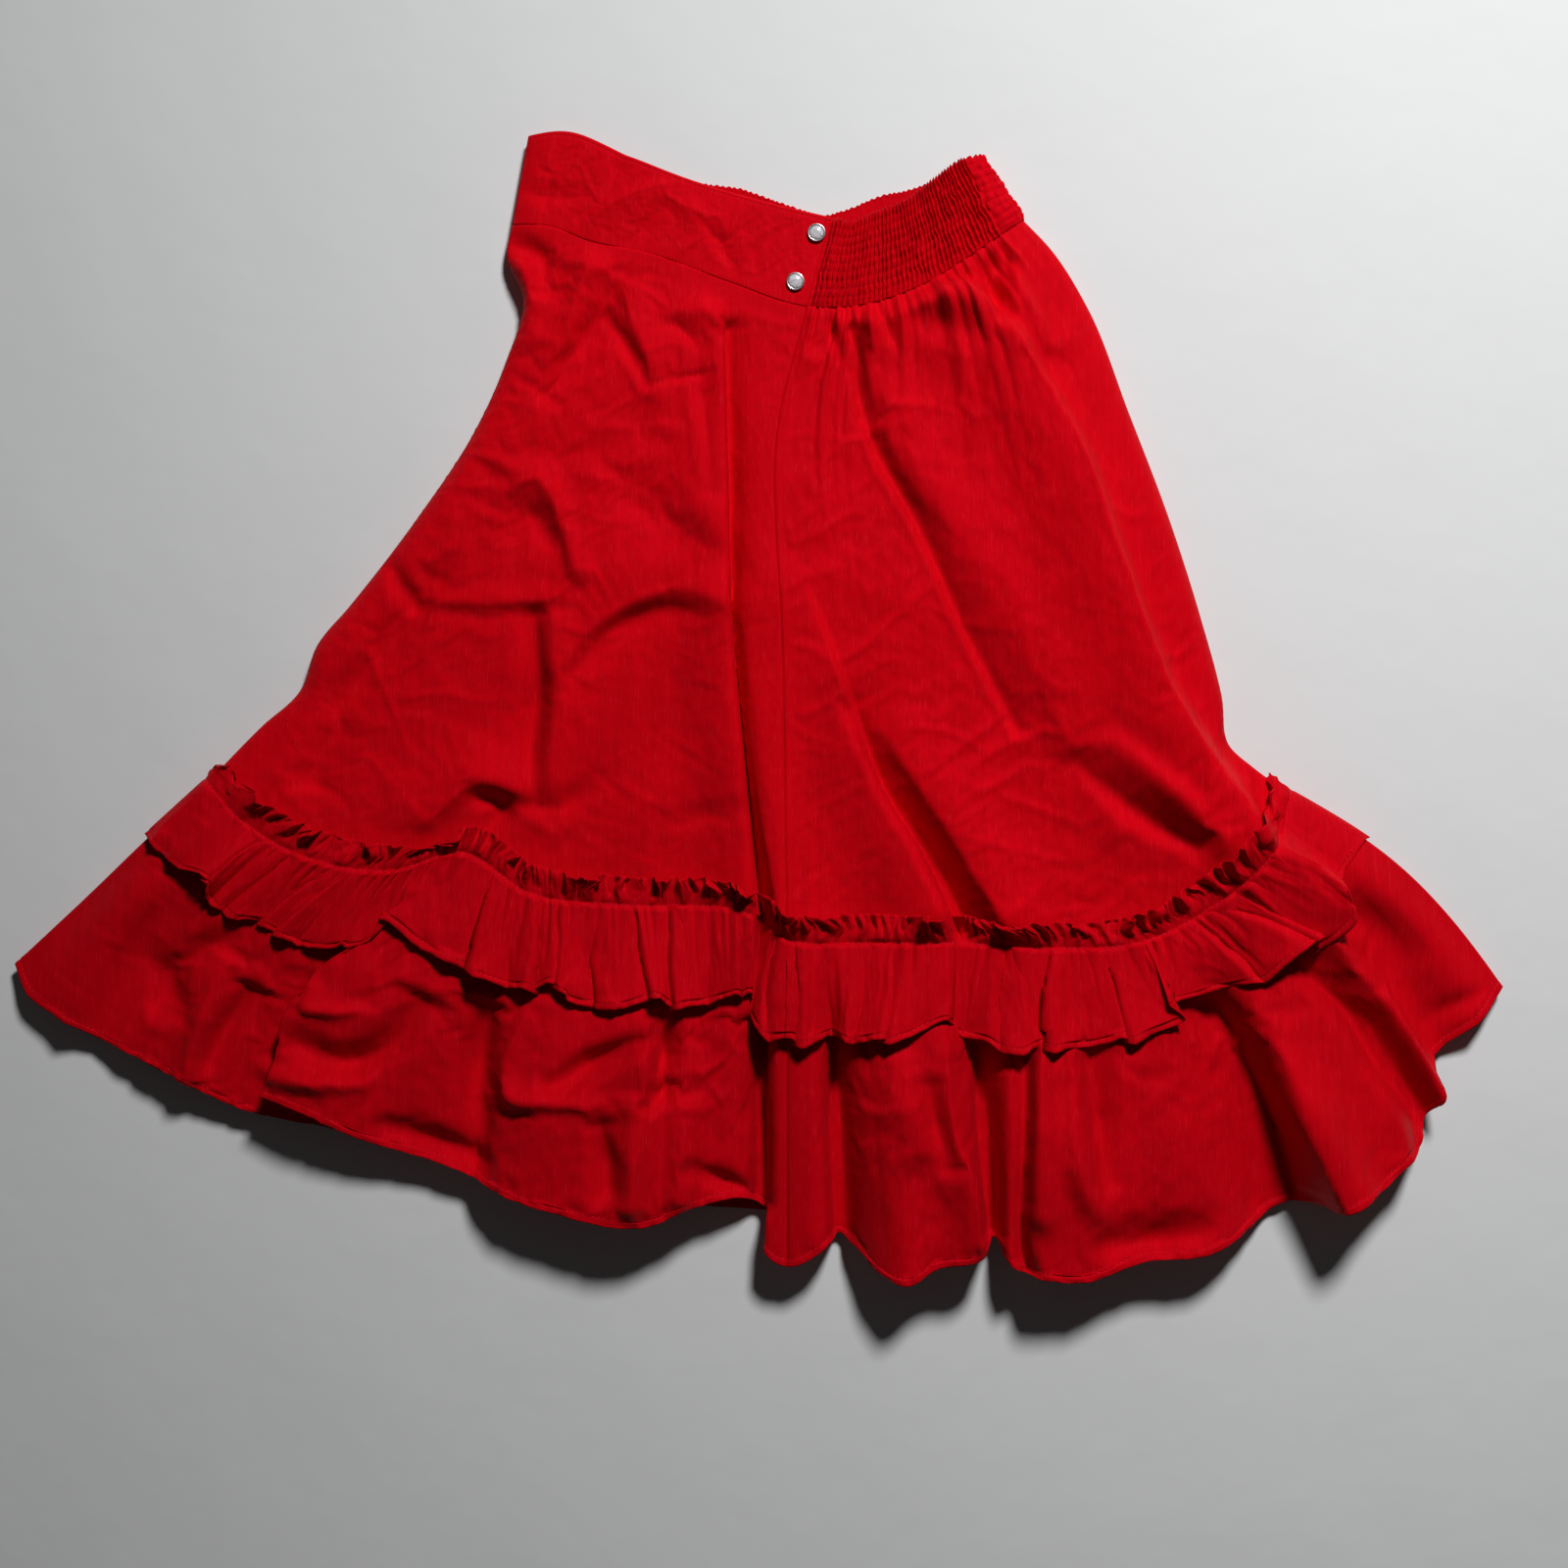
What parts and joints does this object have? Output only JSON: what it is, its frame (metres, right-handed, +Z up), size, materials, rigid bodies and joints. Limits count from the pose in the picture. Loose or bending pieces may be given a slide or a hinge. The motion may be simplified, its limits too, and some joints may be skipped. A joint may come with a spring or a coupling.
{
  "type": "square dance skirt",
  "caption": "Cotton skirt laid flat: plain yoke and shirred waist, side snaps, flared body, headed ruffle over a deep gathered flounce.",
  "frame": {"origin": "on the surface that the skirt lies on, under the middle of its box", "axes": "+Z up, away from the surface; +Y towards the waist; +X towards the wearer's left, along the hem"},
  "size_m": [0.919, 0.7032, 0.0397],
  "materials": {
    "red_cloth": "plain weave with fine uneven pale threads, soft sheen",
    "snap_metal": "polished",
    "snap_pearl": "pearl gloss"
  },
  "bodies": {
    "root": {"yoke_front": "red_cloth", "waistband_back": "red_cloth", "skirt_front": "red_cloth", "skirt_back": "red_cloth", "flounce_front": "red_cloth", "flounce_back": "red_cloth", "ruffle_front": "red_cloth", "ruffle_back": "red_cloth", "snap_ring_1": "snap_metal", "snap_pearl_1": "snap_pearl", "snap_socket_1": "snap_metal", "snap_ring_2": "snap_metal", "snap_pearl_2": "snap_pearl", "snap_socket_2": "snap_metal"}
  },
  "joints": []
}
